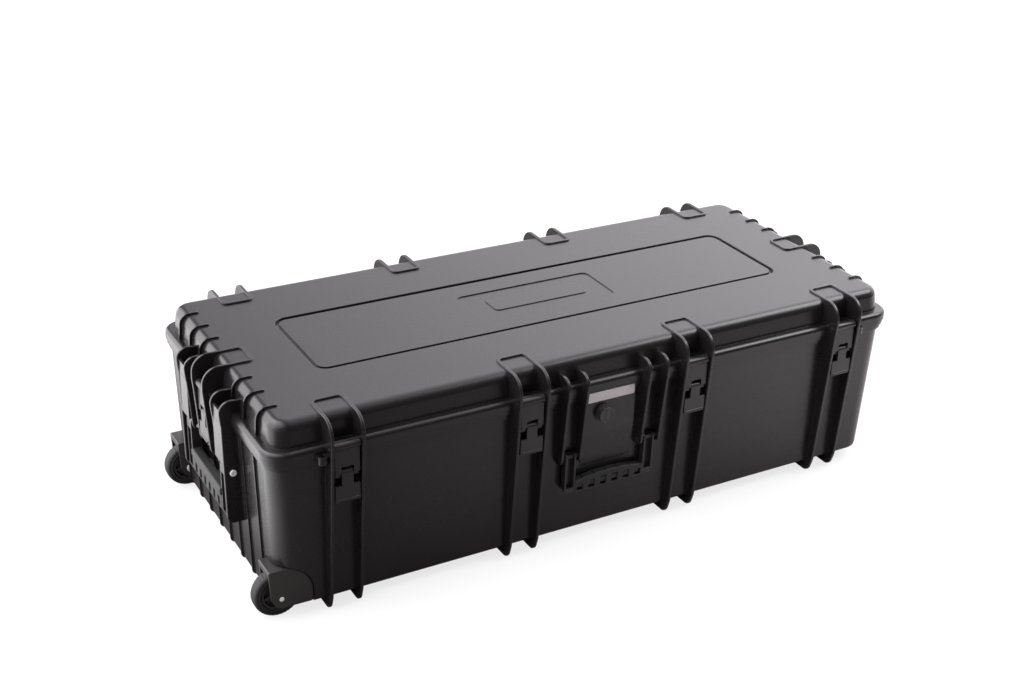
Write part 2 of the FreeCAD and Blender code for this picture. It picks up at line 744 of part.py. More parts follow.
def hub(side):
    """Wheel centre: rim, web, boss and five spokes."""
    middle = side * WHEEL_Y
    half = TYRE_WIDTH / 2 - 2
    rim = wheel_rod(middle - half, middle + half, RIM_R)
    rim = rim.cut(wheel_rod(middle - half - 1, middle + half + 1, RIM_R - 3))
    boss = wheel_rod(side * 174, side * 202, 7.5)
    web = wheel_rod(middle - 1.5, middle + 1.5, RIM_R - 2)
    spokes = []
    for step in range(5):
        spoke = box(WHEEL_X + 4, WHEEL_X + RIM_R - 2, middle - 6, middle + 6, WHEEL_R - 2, WHEEL_R + 2)
        spoke.rotate(V(WHEEL_X, 0, WHEEL_R), V(0, 1, 0), 90 + 72 * step)
        spokes.append(spoke)
    body = fuse([rim, boss, web] + spokes)
    return body.cut(wheel_rod(side * 170, side * 206, AXLE_R + RUN_GAP))


def axle(side):
    """Axle with a flat head behind the housing's inner plate and a domed bright end outside."""
    inner, outer = HOUSING_Y
    shank = wheel_rod(side * (inner - 1), side * (outer + 1.4), AXLE_R)
    shank = fillet(shank, 1.2, lambda e: abs(e.BoundBox.Center.y) > outer + 1.3)
    return fuse([shank, wheel_rod(side * (inner - 2), side * inner, 6.0)])


def housing_screw_lines(side):
    """Start and end of each screw that holds a wheel housing to the tub's corner."""
    start = HOUSING_X - HOUSING_WALL
    end = HOUSING_X + WELL_GAP + WALL + 0.5
    return [((start, side * y, HOUSING_SCREW_UP), (end, side * y, HOUSING_SCREW_UP)) for y in HOUSING_SCREWS]


def bracket(side):
    """Wheel housing: two D-shaped plates and the arch that joins them, with a lip at its end."""
    inner, outer = HOUSING_Y
    corners = [
        (-511, HOUSING_TOP, 2), (HOUSING_X, HOUSING_TOP, HOUSING_ARCH), (HOUSING_X, 19, 3),
        (-500, 19.5, 12), (-508, WHEEL_R, 15),
    ]
    wire = outline(corners, lambda p: V(p.x, side * inner, p.y))
    body = Part.Face(wire).extrude(V(0, side * (outer - inner), 0))
    high = HOUSING_TOP - HOUSING_WALL
    end = HOUSING_X - HOUSING_WALL
    corners = [
        (-560, -10, 0), (-560, high - 5, 0), (-506, high - 5, 0), (-506, high, 0),
        (end, high, HOUSING_ARCH - HOUSING_WALL), (end, -10, 0),
    ]
    wire = outline(corners, lambda p: V(p.x, side * (inner + HOUSING_WALL), p.y))
    room = Part.Face(wire).extrude(V(0, side * (outer - inner - 2 * HOUSING_WALL), 0))
    tools = [room, wheel_rod(side * 160, side * 215, AXLE_R + FIXED_GAP)]
    for screw_start, screw_end in housing_screw_lines(side):
        tools.append(rod(screw_start, screw_end, 2.0 + FIXED_GAP))
    for tool in tools:
        body = body.cut(tool)
    return body


def bracket_screws():
    """Two screws per wheel housing, from inside it into the tub's corner."""
    screws = []
    for _, side in wheel_sides():
        for start, end in housing_screw_lines(side):
            x, y, z = start
            head = rod((x - 2.4, y, z), start, 3.8)
            socket = rod((x - 3, y, z), (x - 1, y, z), 1.5)
            screws.append(fuse([rod((x - 1, y, z), end, 2.0), head]).cut(socket))
    return screws


# --- small parts on the front -------------------------------------------------------------
def valve_rod(out0, out1, radius, across=0.0, up=0.0):
    """Cylinder through the front wall, on the valve's axis or beside it."""
    x = VALVE_ACROSS + across
    z = VALVE_UP + up
    return rod((x, -out0, z), (x, -out1, z), radius)


def valve_body():
    """Threaded bush of the purge valve, with a flange outside the panel."""
    flange = valve_rod(PANEL_FACE, PANEL_FACE + 2, 14.0)
    stem = valve_rod(202, PANEL_FACE + 1, VALVE_BORE_R)
    body = fuse([flange, stem])
    return body.cut(valve_rod(204, 230, 3.0 + RUN_GAP))


def valve_knob():
    """Fluted knob that turns to let the pressure out, with a finger bar in its face."""
    low = PANEL_FACE + 2.2
    high = low + 8
    knob = valve_rod(low, high, KNOB_R)
    knob = fillet(knob, 1.4, lambda e: e.BoundBox.YMax < 0.1 - high)
    cutters = [valve_rod(high - 0.8, high + 1, KNOB_R - 3)]
    for step in range(24):
        angle = 2 * math.pi * step / 24
        across = (KNOB_R + 0.4) * math.sin(angle)
        up = (KNOB_R + 0.4) * math.cos(angle)
        cutters.append(valve_rod(low + 1, high + 1, 1.0, across, up))
    knob = knob.cut(Part.makeCompound(cutters))
    left = VALVE_ACROSS - 1.8
    bar = front_block(left, left + 3.6, high - 2, high - 0.3, VALVE_UP - 8, VALVE_UP + 8)
    return fuse([knob, bar, valve_rod(208, low + 1, 3.0)])


def valve_seal():
    """Seal washer inside the wall, under the nut."""
    return valve_rod(207.2, 209.0, 9.5).cut(valve_rod(205, 212, VALVE_BORE_R + FIXED_GAP))


def valve_nut():
    """Hexagon nut on the valve's stem."""
    points = []
    for step in range(7):
        angle = math.radians(60 * step)
        points.append(V(VALVE_ACROSS + 10 * math.cos(angle), -207.2, VALVE_UP + 10 * math.sin(angle)))
    nut = Part.Face(Part.makePolygon(points)).extrude(V(0, 4.5, 0))
    return nut.cut(valve_rod(200, 212, VALVE_BORE_R + FIXED_GAP))


def name_plate():
    """Plain metal plate on the front panel."""
    left = PANEL_MIDDLE - 39
    right = PANEL_MIDDLE + 39
    corners = [(left, 224.4, 1), (right, 224.4, 1), (right, 239.3, 1), (left, 239.3, 1)]
    return face_outline(corners, PANEL_FACE + 0.8, 0.8)


def lid_badge():
    """Plain badge in its seat in the lid's top."""
    low = LID_TOP - BADGE_SEAT
    badge = pad(78, 20, low, low + 1.2, 7)
    return fillet(badge, 0.4, level_at(low + 1.2))


# --- foam ---------------------------------------------------------------------------------
def foam_floor():
    """Floor pad, cut out around the wheel wells."""
    block = straight(FOOT_HALF - WALL - 2, BASE_BOTTOM + WALL + 0.2, 45, TUB_CORNER - WALL - 2)
    for _, side in wheel_sides():
        block = block.cut(wheel_well(side, WALL + 1))
    return block


def foam_liner():
    """Liner around the inside of the tub's walls, cut out around the wheel wells."""
    outer = straight(FOOT_HALF - WALL - 2, 45.2, 228, TUB_CORNER - WALL - 2)
    inner = straight(FOOT_HALF - WALL - 20, 40, 230, 8)
    ring = outer.cut(inner)
    ring = ring.cut(valve_rod(200, 240, 14))
    for _, side in wheel_sides():
        ring = ring.cut(wheel_well(side, WALL + 1))
    return ring


def foam_lid():
    """Pad under the lid's top."""
    return straight(LID_TOP_HALF - WALL - 4, 254, LID_TOP - LID_ROOF - 0.2, LID_CORNER - WALL - 4)


# --- write the parts ----------------------------------------------------------------------
def all_nodes():
    """Node name to its solid, or to its list of separate solids."""
    nodes = {
        "base_shell": base_shell(),
        "lid_shell": lid_shell(),
        "lid_gasket": lid_gasket(),
        "hinge_pins": hinge_pins(),
        "front_handle_frame": front_handle_frame(),
        "front_handle_grip": front_handle_grip(),
        "front_handle_pins": front_handle_pins(),
        "end_handle_screws": end_handle_screws(),
        "bracket_screws": bracket_screws(),
        "purge_valve_body": valve_body(),
        "purge_valve_knob": valve_knob(),
        "purge_valve_seal": valve_seal(),
        "purge_valve_nut": valve_nut(),
        "front_name_plate": name_plate(),
        "lid_badge": lid_badge(),
        "foam_floor": foam_floor(),
        "foam_liner": foam_liner(),
        "foam_lid": foam_lid(),
    }
    nodes.update(latch_parts())
    for side in ("left", "right"):
        nodes[f"{side}_handle_frame"] = on_side(end_handle_frame(), side)
        nodes[f"{side}_handle_grip"] = on_side(end_handle_grip(), side)
    for name, side in wheel_sides():
        nodes[f"wheel_bracket_{name}"] = bracket(side)
        nodes[f"wheel_tyre_{name}"] = tyre(side)
        nodes[f"wheel_hub_{name}"] = hub(side)
        nodes[f"wheel_axle_{name}"] = axle(side)
    return nodes


os.makedirs("parts", exist_ok=True)
for node, shape in all_nodes().items():
    solids = shape if isinstance(shape, list) else [shape]
    whole = solids[0] if len(solids) == 1 else Part.makeCompound(solids)
    whole.translate(ORIGIN_SHIFT)
    whole.exportStep(f"parts/{node}.step")
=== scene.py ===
import json
import math
import random

import bmesh
import bpy
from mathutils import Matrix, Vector, noise

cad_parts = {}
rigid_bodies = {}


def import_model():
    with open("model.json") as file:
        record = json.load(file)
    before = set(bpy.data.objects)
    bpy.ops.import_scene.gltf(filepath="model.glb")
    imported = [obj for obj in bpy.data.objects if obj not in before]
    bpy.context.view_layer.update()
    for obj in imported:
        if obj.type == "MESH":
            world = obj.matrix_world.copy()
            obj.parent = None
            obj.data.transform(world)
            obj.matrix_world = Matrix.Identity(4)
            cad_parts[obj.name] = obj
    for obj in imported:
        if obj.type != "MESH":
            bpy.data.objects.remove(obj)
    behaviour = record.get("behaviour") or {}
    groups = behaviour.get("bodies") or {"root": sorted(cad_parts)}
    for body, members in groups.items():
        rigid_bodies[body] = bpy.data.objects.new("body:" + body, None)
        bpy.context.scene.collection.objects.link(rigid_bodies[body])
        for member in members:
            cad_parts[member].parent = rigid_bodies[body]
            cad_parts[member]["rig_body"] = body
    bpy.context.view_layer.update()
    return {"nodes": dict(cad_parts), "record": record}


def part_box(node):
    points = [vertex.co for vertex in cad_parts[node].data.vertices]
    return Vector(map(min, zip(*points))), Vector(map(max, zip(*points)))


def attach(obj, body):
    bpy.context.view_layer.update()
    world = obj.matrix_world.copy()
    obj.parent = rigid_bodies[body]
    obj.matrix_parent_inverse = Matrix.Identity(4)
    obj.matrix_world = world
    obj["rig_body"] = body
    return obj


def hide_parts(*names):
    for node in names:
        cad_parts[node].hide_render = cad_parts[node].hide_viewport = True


# Long wheeled hard transport case: the looks.
# Metres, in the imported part's frame: the wheels are at -X, the latched front is at -Y, Z is up.
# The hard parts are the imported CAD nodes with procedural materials. The soft ones (foam, tyres,
# grips and gasket) are built here and stand for their CAD nodes.

# --- driving dimensions -------------------------------------------------------------------
CAMERA_AT = (-1.0523, -1.7735, 1.2232)
CAMERA_TURN = (63.93, -1.609, -28.983)
CAMERA_LENS = 53.195              # on a sensor 36 mm wide

EDGE_ROUND = 0.0007               # how far the moulded edges look rounded
METAL_EDGE_ROUND = 0.0004

TREAD_BLOCKS = 36
TREAD_DEPTH = 0.0009
TYRE_SEAT_GAP = 0.00002           # between the tyre's bore and the hub
TURN_STEPS = 6                    # points round the tyre for each tread block

FLOOR_FOAM_CORNER = 0.024
FOAM_CUBE = 0.0175                # pluck cubes of the floor pad
FOAM_SLIT = 0.0009
FOAM_BASE = 0.007                 # uncut layer under the cubes
CUBE_SAG = 0.0011                 # how much the cubes' heights differ
NARROW_CUBE = 0.004               # narrower ones are left out beside a wheel well
WELL_CLEAR = (0.0066, 0.009)      # from a wheel housing to the foam, along X and along Y

LID_FOAM_CORNER = 0.016
WAVE = 0.042                      # egg-crate waves of the lid pad
WAVE_DEPTH = 0.016
WAVE_STEPS = 8                    # points along each wave
WAVE_RIPPLE = 0.0008

GASKET_CORNER = 0.029
GASKET_HALF = 0.0021              # half the bead's width
GASKET_STEPS = 12                 # points round each corner and round the bead

FLOOR_REACH = 12.0
FLOOR_TONE = 0.20                 # of the floor that the camera sees
FLOOR_GLOW = (0.75, 0.77)         # light it adds, so that it stays pale under the case's shadow
MIRROR_TONES = (0.17, 0.60)       # floor that the case mirrors, from left to right
MIRROR_FAR = 0.06                 # the same, further out in front
LEFT_GLOW = 2.6                   # light of the mirrored floor beside the left end

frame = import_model()
nodes = frame["nodes"]


# --- material building blocks -------------------------------------------------------------
class Graph:
    """Short way to add shader nodes to one material or world and to link them."""

    def __init__(self, owner):
        owner.use_nodes = True
        self.tree = owner.node_tree
        self.tree.nodes.clear()

    def add(self, kind, settings=None, **inputs):
        """New node; an input is named with _ for a space and takes a value or a socket."""
        node = self.tree.nodes.new("ShaderNode" + kind)
        for key, value in (settings or {}).items():
            setattr(node, key, value)
        for key, value in inputs.items():
            self.feed(node.inputs[key.replace("_", " ")], value)
        return node

    def feed(self, socket, value):
        if isinstance(value, bpy.types.NodeSocket):
            self.tree.links.new(value, socket)
        else:
            socket.default_value = value

    def math(self, operation, *values):
        node = self.add("Math", {"operation": operation})
        for socket, value in zip(node.inputs, values):
            self.feed(socket, value)
        return node.outputs[0]

    def noise(self, place, scale, detail=2.0, rough=0.5):
        return self.add("TexNoise", Vector=place, Scale=scale, Detail=detail, Roughness=rough).outputs["Fac"]

    def between(self, value, low, high, to_low=0.0, to_high=1.0):
        """Value from low..high, spread over to_low..to_high and held at its ends."""
        node = self.add("MapRange")
        for socket, number in zip(node.inputs, (value, low, high, to_low, to_high)):
            self.feed(socket, number)
        return node.outputs[0]

    def mix(self, share, first, second, how="MIX"):
        node = self.add("MixRGB", {"blend_type": how})
        for socket, value in zip(node.inputs, (share, first, second)):
            self.feed(socket, value)
        return node.outputs[0]

    def stretched(self, place, x, y, z):
        """Coordinates scaled by different amounts, for streaks and scratches."""
        return self.add("Mapping", Vector=place, Scale=(x, y, z)).outputs[0]

    def finish(self, **inputs):
        """Principled surface with these inputs, joined to the output."""
        surface = self.add("BsdfPrincipled", None, **inputs)
        output = self.add("OutputMaterial")
        self.tree.links.new(surface.outputs[0], output.inputs["Surface"])


def rgb(value, tint=(1.0, 1.0, 1.0)):
    """Grey of this linear value, tinted."""
    return (value * tint[0], value * tint[1], value * tint[2], 1.0)


WARM_BLACK = (1.10, 0.94, 0.92)


def moulded(name, grey, rough, grain, depth, edge_wear_and_highlight=0.5, scuffs=0.5, edge=EDGE_ROUND):
    """Black moulded plastic: fine grain, cloudy gloss, faint scratches and paler edges, partly wear and
    partly a painted highlight.
    """
    material = bpy.data.materials.new(name)
    g = Graph(material)
    place = g.add("TexCoord").outputs["Object"]
    cloud = g.noise(place, 5.0, 4.0)
    flow = g.noise(g.stretched(place, 1.4, 3.0, 3.0), 2.0, 3.0)
    speck = g.noise(place, grain, 3.0, 0.6)

    rounded = g.add("Bevel", {"samples": 4}, Radius=edge).outputs[0]
    flat = g.add("NewGeometry").outputs["Normal"]
    facing = g.add("VectorMath", {"operation": "DOT_PRODUCT"})
    g.feed(facing.inputs[0], rounded)
    g.feed(facing.inputs[1], flat)
    # Edge mask for paler rounded edges: partly wear, partly a painted highlight along the edge lines.
    edge_line = g.between(facing.outputs["Value"], 0.985, 0.80)
    patchy = g.between(g.noise(place, 38.0, 5.0, 0.65), 0.38, 0.62)
    worn_and_lit_edge = g.math("MULTIPLY", g.math("MULTIPLY", edge_line, g.math("MULTIPLY_ADD", patchy, 0.6, 0.4)), edge_wear_and_highlight)

    streaks = g.noise(g.stretched(place, 30.0, 700.0, 700.0), 1.0, 2.0)
    crossed = g.noise(g.stretched(place, 500.0, 45.0, 320.0), 1.0, 2.0)
    scratch = g.math("MAXIMUM", g.between(streaks, 0.70, 0.78), g.between(crossed, 0.72, 0.79))
    scratch = g.math("MULTIPLY", scratch, g.math("MULTIPLY", g.between(cloud, 0.45, 0.7), scuffs))

    colour = g.mix(g.between(cloud, 0.3, 0.7), rgb(grey * 0.86, WARM_BLACK), rgb(grey * 1.16, WARM_BLACK))
    colour = g.mix(g.math("MULTIPLY", g.between(speck, 0.35, 0.7), 0.25), colour, rgb(grey * 1.7))
    colour = g.mix(scratch, colour, rgb(grey * 2.6))
    # Painted edge highlight mixed with edge wear: lighter along the rounded edges.
    colour = g.mix(worn_and_lit_edge, colour, rgb(grey * 4.2))

    gloss = g.math("ADD", g.between(flow, 0.3, 0.7, rough - 0.035, rough + 0.04),
                   g.between(speck, 0.3, 0.7, -0.02, 0.03))
    gloss = g.math("SUBTRACT", gloss, g.math("MULTIPLY", worn_and_lit_edge, 0.08))
    gloss = g.math("ADD", gloss, g.math("MULTIPLY", scratch, 0.08))

    height = g.math("SUBTRACT", speck, g.math("MULTIPLY", scratch, 0.6))
    normal = g.add("Bump", Strength=1.0, Distance=depth, Height=height, Normal=rounded).outputs[0]
    g.finish(Base_Color=colour, Roughness=gloss, Normal=normal, Specular_IOR_Level=0.40)
    return material


def rubber(name, grey, rough, grain, depth, dust=0.3):
    """Matt rubber: pimpled skin with dust in the low spots."""
    material = bpy.data.materials.new(name)
    g = Graph(material)
    place = g.add("TexCoord").outputs["Object"]
    cloud = g.noise(place, 22.0, 5.0, 0.6)
    speck = g.noise(place, grain, 3.0, 0.6)
    colour = g.mix(g.between(cloud, 0.3, 0.7), rgb(grey * 0.8), rgb(grey * 1.25))
    low_spots = g.between(speck, 0.5, 0.3)
    colour = g.mix(g.math("MULTIPLY", low_spots, dust), colour, rgb(grey * 2.4, (1.0, 0.97, 0.93)))
    gloss = g.between(cloud, 0.3, 0.7, rough - 0.06, rough + 0.06)
    rounded = g.add("Bevel", {"samples": 4}, Radius=EDGE_ROUND).outputs[0]
    normal = g.add("Bump", Strength=1.0, Distance=depth, Height=speck, Normal=rounded).outputs[0]
    g.finish(Base_Color=colour, Roughness=gloss, Normal=normal, Specular_IOR_Level=0.32)
    return material


def open_cell_foam(name, grey):
    """Dark open-cell foam: pores of about a millimetre, darkened with painted shade, and a slight bloom."""
    material = bpy.data.materials.new(name)
    g = Graph(material)
    place = g.add("TexCoord").outputs["Object"]
    pores = g.add("TexVoronoi", Vector=place, Scale=620.0).outputs["Distance"]
    fluff = g.noise(place, 240.0, 4.0, 0.7)
    cloud = g.noise(place, 9.0, 4.0)
    colour = g.mix(g.between(cloud, 0.3, 0.7), rgb(grey * 0.82), rgb(grey * 1.18))
    # Painted shade: darker where the pores sink in.
    colour = g.mix(g.between(pores, 0.35, 0.75, 0.0, 0.75), colour, rgb(grey * 0.25))
    colour = g.mix(g.between(fluff, 0.5, 0.8, 0.0, 0.5), colour, rgb(grey * 1.9))
    height = g.math("SUBTRACT", g.math("MULTIPLY", fluff, 0.6), pores)
    normal = g.add("Bump", Strength=0.9, Distance=0.0009, Height=height).outputs[0]
    gloss = g.between(fluff, 0.3, 0.7, 0.86, 1.0)
    g.finish(Base_Color=colour, Roughness=gloss, Normal=normal, Specular_IOR_Level=0.15,
             Sheen_Weight=0.25, Sheen_Roughness=0.6)
    return material


def brushed(name, colour, rough, streaks, depth, metallic=1.0):
    """Brushed metal: fine streaks along X in its tone, its gloss and its relief."""
    material = bpy.data.materials.new(name)
    g = Graph(material)
    place = g.add("TexCoord").outputs["Object"]
    lines = g.noise(g.stretched(place, streaks * 0.02, streaks, streaks), 1.0, 4.0, 0.7)
    cloud = g.noise(place, 60.0, 3.0)
    darker = tuple(c * 0.72 for c in colour) + (1.0,)
    tone = g.mix(g.between(lines, 0.3, 0.7), darker, colour + (1.0,))
    tone = g.mix(g.between(cloud, 0.4, 0.75, 0.0, 0.25), tone, darker)
    gloss = g.math("ADD", g.between(lines, 0.3, 0.7, rough - 0.06, rough + 0.1),
                   g.between(cloud, 0.3, 0.7, -0.03, 0.05))
    rounded = g.add("Bevel", {"samples": 4}, Radius=METAL_EDGE_ROUND).outputs[0]
    normal = g.add("Bump", Strength=0.6, Distance=depth, Height=lines, Normal=rounded).outputs[0]
    g.finish(Base_Color=tone, Metallic=metallic, Roughness=gloss, Normal=normal)
    return material


# name, grey, roughness, grains a metre, relief
MATERIALS = {
    "shell_plastic": moulded("shell_plastic", 0.008, 0.25, 1100.0, 0.00006, edge_wear_and_highlight=0.35),
    "latch_plastic": moulded("latch_plastic", 0.014, 0.29, 1500.0, 0.00004, edge_wear_and_highlight=0.6),
    "handle_plastic": moulded("handle_plastic", 0.012, 0.32, 1200.0, 0.00006, edge_wear_and_highlight=0.5),
    "bracket_plastic": moulded("bracket_plastic", 0.026, 0.40, 1000.0, 0.00008, edge_wear_and_highlight=0.4),
    "hub_plastic": moulded("hub_plastic", 0.028, 0.42, 1200.0, 0.00005, edge_wear_and_highlight=0.3),
    "valve_plastic": moulded("valve_plastic", 0.030, 0.40, 1500.0, 0.00005, edge_wear_and_highlight=0.5),
    "badge_plastic": moulded("badge_plastic", 0.012, 0.30, 1600.0, 0.00003, edge_wear_and_highlight=0.4),
    "grip_rubber": rubber("grip_rubber", 0.014, 0.50, 900.0, 0.00015),
    "tyre_rubber": rubber("tyre_rubber", 0.016, 0.60, 700.0, 0.0002, dust=0.35),
    "seal_rubber": rubber("seal_rubber", 0.055, 0.62, 1200.0, 0.0001),
    "foam": open_cell_foam("foam", 0.055),
    "plate_metal": brushed("plate_metal", (0.50, 0.49, 0.49), 0.36, 2600.0, 0.00002),
    "pin_steel": brushed("pin_steel", (0.85, 0.84, 0.82), 0.34, 1800.0, 0.00003, metallic=0.1),
    "black_steel": brushed("black_steel", (0.030, 0.029, 0.028), 0.42, 1800.0, 0.00003, metallic=0.3),
}


def paint(piece, slot):
    """Gives a piece one of the materials above."""
    piece.data.materials.clear()
    piece.data.materials.append(MATERIALS[slot])


def slot_of(node):
    """The record's material slot of a CAD node."""
    rows = frame["record"]["subparts"]
    return next(row["material_slot"] for row in rows if row["node"] == node)


# --- mesh building blocks -----------------------------------------------------------------
def new_piece(name, mesh, node, smooth=True):
    """Object that stands for a CAD node, rides on its body and takes its material."""
    for polygon in mesh.polygons:
        polygon.use_smooth = smooth
    piece = bpy.data.objects.new(name, mesh)
    bpy.context.scene.collection.objects.link(piece)
    slot = slot_of(node)
    paint(piece, slot)
    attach(piece, nodes[node]["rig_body"])
    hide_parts(node)
    return piece


def mesh_from(name, points, faces):
    """Closed mesh with its faces turned outwards."""
    mesh = bpy.data.meshes.new(name)
    mesh.from_pydata(points, [], faces)
    b = bmesh.new()
    b.from_mesh(mesh)
    bmesh.ops.recalc_face_normals(b, faces=b.faces)
    b.to_mesh(mesh)
    b.free()
    return mesh


def ring_faces(count, profile):
    """Faces of a tube: `count` sections round, `profile` points in each."""
    faces = []
    for i in range(count):
        here = i * profile
        after = (i + 1) % count * profile
        for j in range(profile):
            above = (j + 1) % profile
            faces.append((here + j, after + j, after + above, here + above))
    return faces


def softened(name, node, voxel, rounds, ripple=0.0, ripple_size=0.02):
    """Soft copy of a CAD node: remeshed, smoothed, and rippled a little."""
    mesh = nodes[node].data.copy()
    mesh.name = name
    piece = new_piece(name, mesh, node)
    remesh = piece.modifiers.new("soft", "REMESH")
    remesh.mode = "VOXEL"
    remesh.voxel_size = voxel
    smooth = piece.modifiers.new("smooth", "SMOOTH")
    smooth.factor = 0.5
    smooth.iterations = rounds
    graph = bpy.context.evaluated_depsgraph_get()
    soft = bpy.data.meshes.new_from_object(piece.evaluated_get(graph))
    piece.modifiers.clear()
    moved = [v.co + v.normal * noise.noise(v.co / ripple_size) * ripple for v in soft.vertices]
    for vertex, place in zip(soft.vertices, moved):
        vertex.co = place
    for polygon in soft.polygons:
        polygon.use_smooth = True
    piece.data = soft
    paint(piece, slot_of(node))
    return piece


# --- soft pieces --------------------------------------------------------------------------
def tyre(name, node, hub):
    """Lathed tyre: rounded tread with cross grooves, and a bead line on each side wall."""
    low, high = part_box(node)
    centre = (low + high) / 2
    radius = (high.z - low.z) / 2
    half = (high.y - low.y) / 2
    hub_low, hub_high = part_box(hub)
    bore = (hub_high.z - hub_low.z) / 2 + TYRE_SEAT_GAP
    # height between bore and tread, and place across, from the bead to the middle of the tread
    side = [
        (0.0, 0.90), (0.20, 1.0), (0.37, 1.0), (0.42, 0.93), (0.49, 0.93), (0.55, 0.985),
        (0.72, 0.93), (0.87, 0.82), (0.96, 0.64), (0.99, 0.42), (1.0, 0.16),
    ]
    profile = side + [(tall, -y) for tall, y in reversed(side)]
    turns = TREAD_BLOCKS * TURN_STEPS
    points = []
    for i in range(turns):
        angle = 2 * math.pi * i / turns
        for tall, y in profile:
            r = bore + tall * (radius - bore)
            if i % TURN_STEPS == 0:
                r -= TREAD_DEPTH * min(1.0, max(0.0, (tall - 0.67) * 4))
            x = centre.x + r * math.cos(angle)
            z = centre.z + r * math.sin(angle)
            points.append((x, centre.y + y * half, z))
    return new_piece(name, mesh_from(name, points, ring_faces(turns, len(profile))), node)


def round_corner(x, y, centre, half, corner):
    """Point pulled in to the rounded corner of a rectangle, if it lies outside it."""
    dx = abs(x - centre.x) - (half.x - corner)
    dy = abs(y - centre.y) - (half.y - corner)
    reach = math.hypot(dx, dy)
    if dx > 0 and dy > 0 and reach > corner:
        x = centre.x + math.copysign(half.x - corner + dx * corner / reach, x - centre.x)
        y = centre.y + math.copysign(half.y - corner + dy * corner / reach, y - centre.y)
    return x, y


def lid_foam():
    """Egg-crate pad: waves on its underside, flat where it is glued to the lid."""
    low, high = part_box("foam_lid")
    centre = (low + high) / 2
    half = (high - low) / 2
    across = round(2 * half.x / (WAVE / WAVE_STEPS))
    deep = round(2 * half.y / (WAVE / WAVE_STEPS))
    points = []
    for level in ("waves", "back"):
        for i in range(across + 1):
            for j in range(deep + 1):
                x = low.x + 2 * half.x * i / across
                y = low.y + 2 * half.y * j / deep
                wave = math.cos(2 * math.pi * (x - centre.x) / WAVE)
                wave += math.cos(2 * math.pi * (y - centre.y) / WAVE)
                x, y = round_corner(x, y, centre, half, LID_FOAM_CORNER)
                up = high.z
                if level == "waves":
                    ripple = WAVE_RIPPLE * abs(noise.noise(Vector((x, y, 0)) * 60))
                    up = low.z + WAVE_DEPTH * (0.5 - wave / 4) + ripple
                points.append((x, y, up))
    faces = []
    row = deep + 1
    layer = (across + 1) * row
    for start in (0, layer):
        for i in range(across):
            for j in range(deep):
                a = start + i * row + j
                faces.append((a, a + 1, a + row + 1, a + row))
    rim = [i * row for i in range(across)] + [across * row + j for j in range(deep)]
    rim += [i * row + deep for i in range(across, 0, -1)] + list(range(deep, 0, -1))
    for a, b in zip(rim, rim[1:] + rim[:1]):
        faces.append((a, b, b + layer, a + layer))
    return new_piece("lid_foam", mesh_from("lid_foam", points, faces), "foam_lid")


def floor_foam():
    """Pick-and-pluck pad: a base layer under a field of cubes that are cut apart."""
    low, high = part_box("foam_floor")
    centre = (low + high) / 2
    half = (high - low) / 2
    housing_low, housing_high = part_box("wheel_bracket_back")
    well_x = housing_high.x + WELL_CLEAR[0]
    well_y = housing_low.y - WELL_CLEAR[1]
    base_top = low.z + FOAM_BASE
    count_x = round(2 * half.x / FOAM_CUBE)
    count_y = round(2 * half.y / FOAM_CUBE)
    dice = random.Random(7)
    points = []
    faces = []
    for i in range(count_x):
        for j in range(count_y):
            x0 = low.x + 2 * half.x * i / count_x
            x1 = low.x + 2 * half.x * (i + 1) / count_x
            y0 = low.y + 2 * half.y * j / count_y
            y1 = low.y + 2 * half.y * (j + 1) / count_y
            if x0 < well_x and max(abs(y0 - centre.y), abs(y1 - centre.y)) > well_y - centre.y:
                if x1 - well_x <= NARROW_CUBE:
                    continue
                x0 = well_x
            top = high.z - dice.random() * CUBE_SAG
            gap = FOAM_SLIT / 2
            start = len(points)
            rings = ((low.z, 0.0), (base_top, 0.0), (base_top + 0.0005, gap), (top - 0.0016, gap),
                     (top - 0.0004, gap + 0.0005), (top, gap + 0.0018))
            for z, inset in rings:
                for x, y in ((x0 + inset, y0 + inset), (x1 - inset, y0 + inset),
                             (x1 - inset, y1 - inset), (x0 + inset, y1 - inset)):
                    x, y = round_corner(x, y, centre, half, FLOOR_FOAM_CORNER - inset)
                    points.append((x, y, z))
            for level in range(len(rings) - 1):
                for k in range(4):
                    a = start + level * 4 + k
                    b = start + level * 4 + (k + 1) % 4
                    faces.append((a, b, b + 4, a + 4))
            last = start + (len(rings) - 1) * 4
            faces.append((start + 3, start + 2, start + 1, start))
            faces.append((last, last + 1, last + 2, last + 3))
    return new_piece("floor_foam", mesh_from("floor_foam", points, faces), "foam_floor", smooth=False)


def gasket():
    """Rounded bead that runs round the lid's groove."""
    low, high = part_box("lid_gasket")
    centre = (low + high) / 2
    half = (high - low) / 2
    corner = GASKET_CORNER
    tall = (high.z - low.z) / 2
    middles = []
    for turn, (sx, sy) in enumerate(((1, 1), (-1, 1), (-1, -1), (1, -1))):
        for k in range(GASKET_STEPS + 1):
            angle = math.pi / 2 * (turn + k / GASKET_STEPS)
            middles.append((centre.x + sx * (half.x - corner), centre.y + sy * (half.y - corner), angle))
    points = []
    for x, y, angle in middles:
        for k in range(GASKET_STEPS):
            turn = 2 * math.pi * k / GASKET_STEPS
            reach = corner - GASKET_HALF + GASKET_HALF * math.cos(turn)
            lift = tall * math.copysign(abs(math.sin(turn)) ** 0.7, math.sin(turn))
            points.append((x + reach * math.cos(angle), y + reach * math.sin(angle), centre.z + lift))
    mesh = mesh_from("gasket", points, ring_faces(len(middles), GASKET_STEPS))
    return new_piece("gasket", mesh, "lid_gasket")


for name, obj in nodes.items():
    paint(obj, slot_of(name))
for name in ("front_handle_pins", "latch_hinge_pins", "hinge_pins"):
    paint(nodes[name], "black_steel")

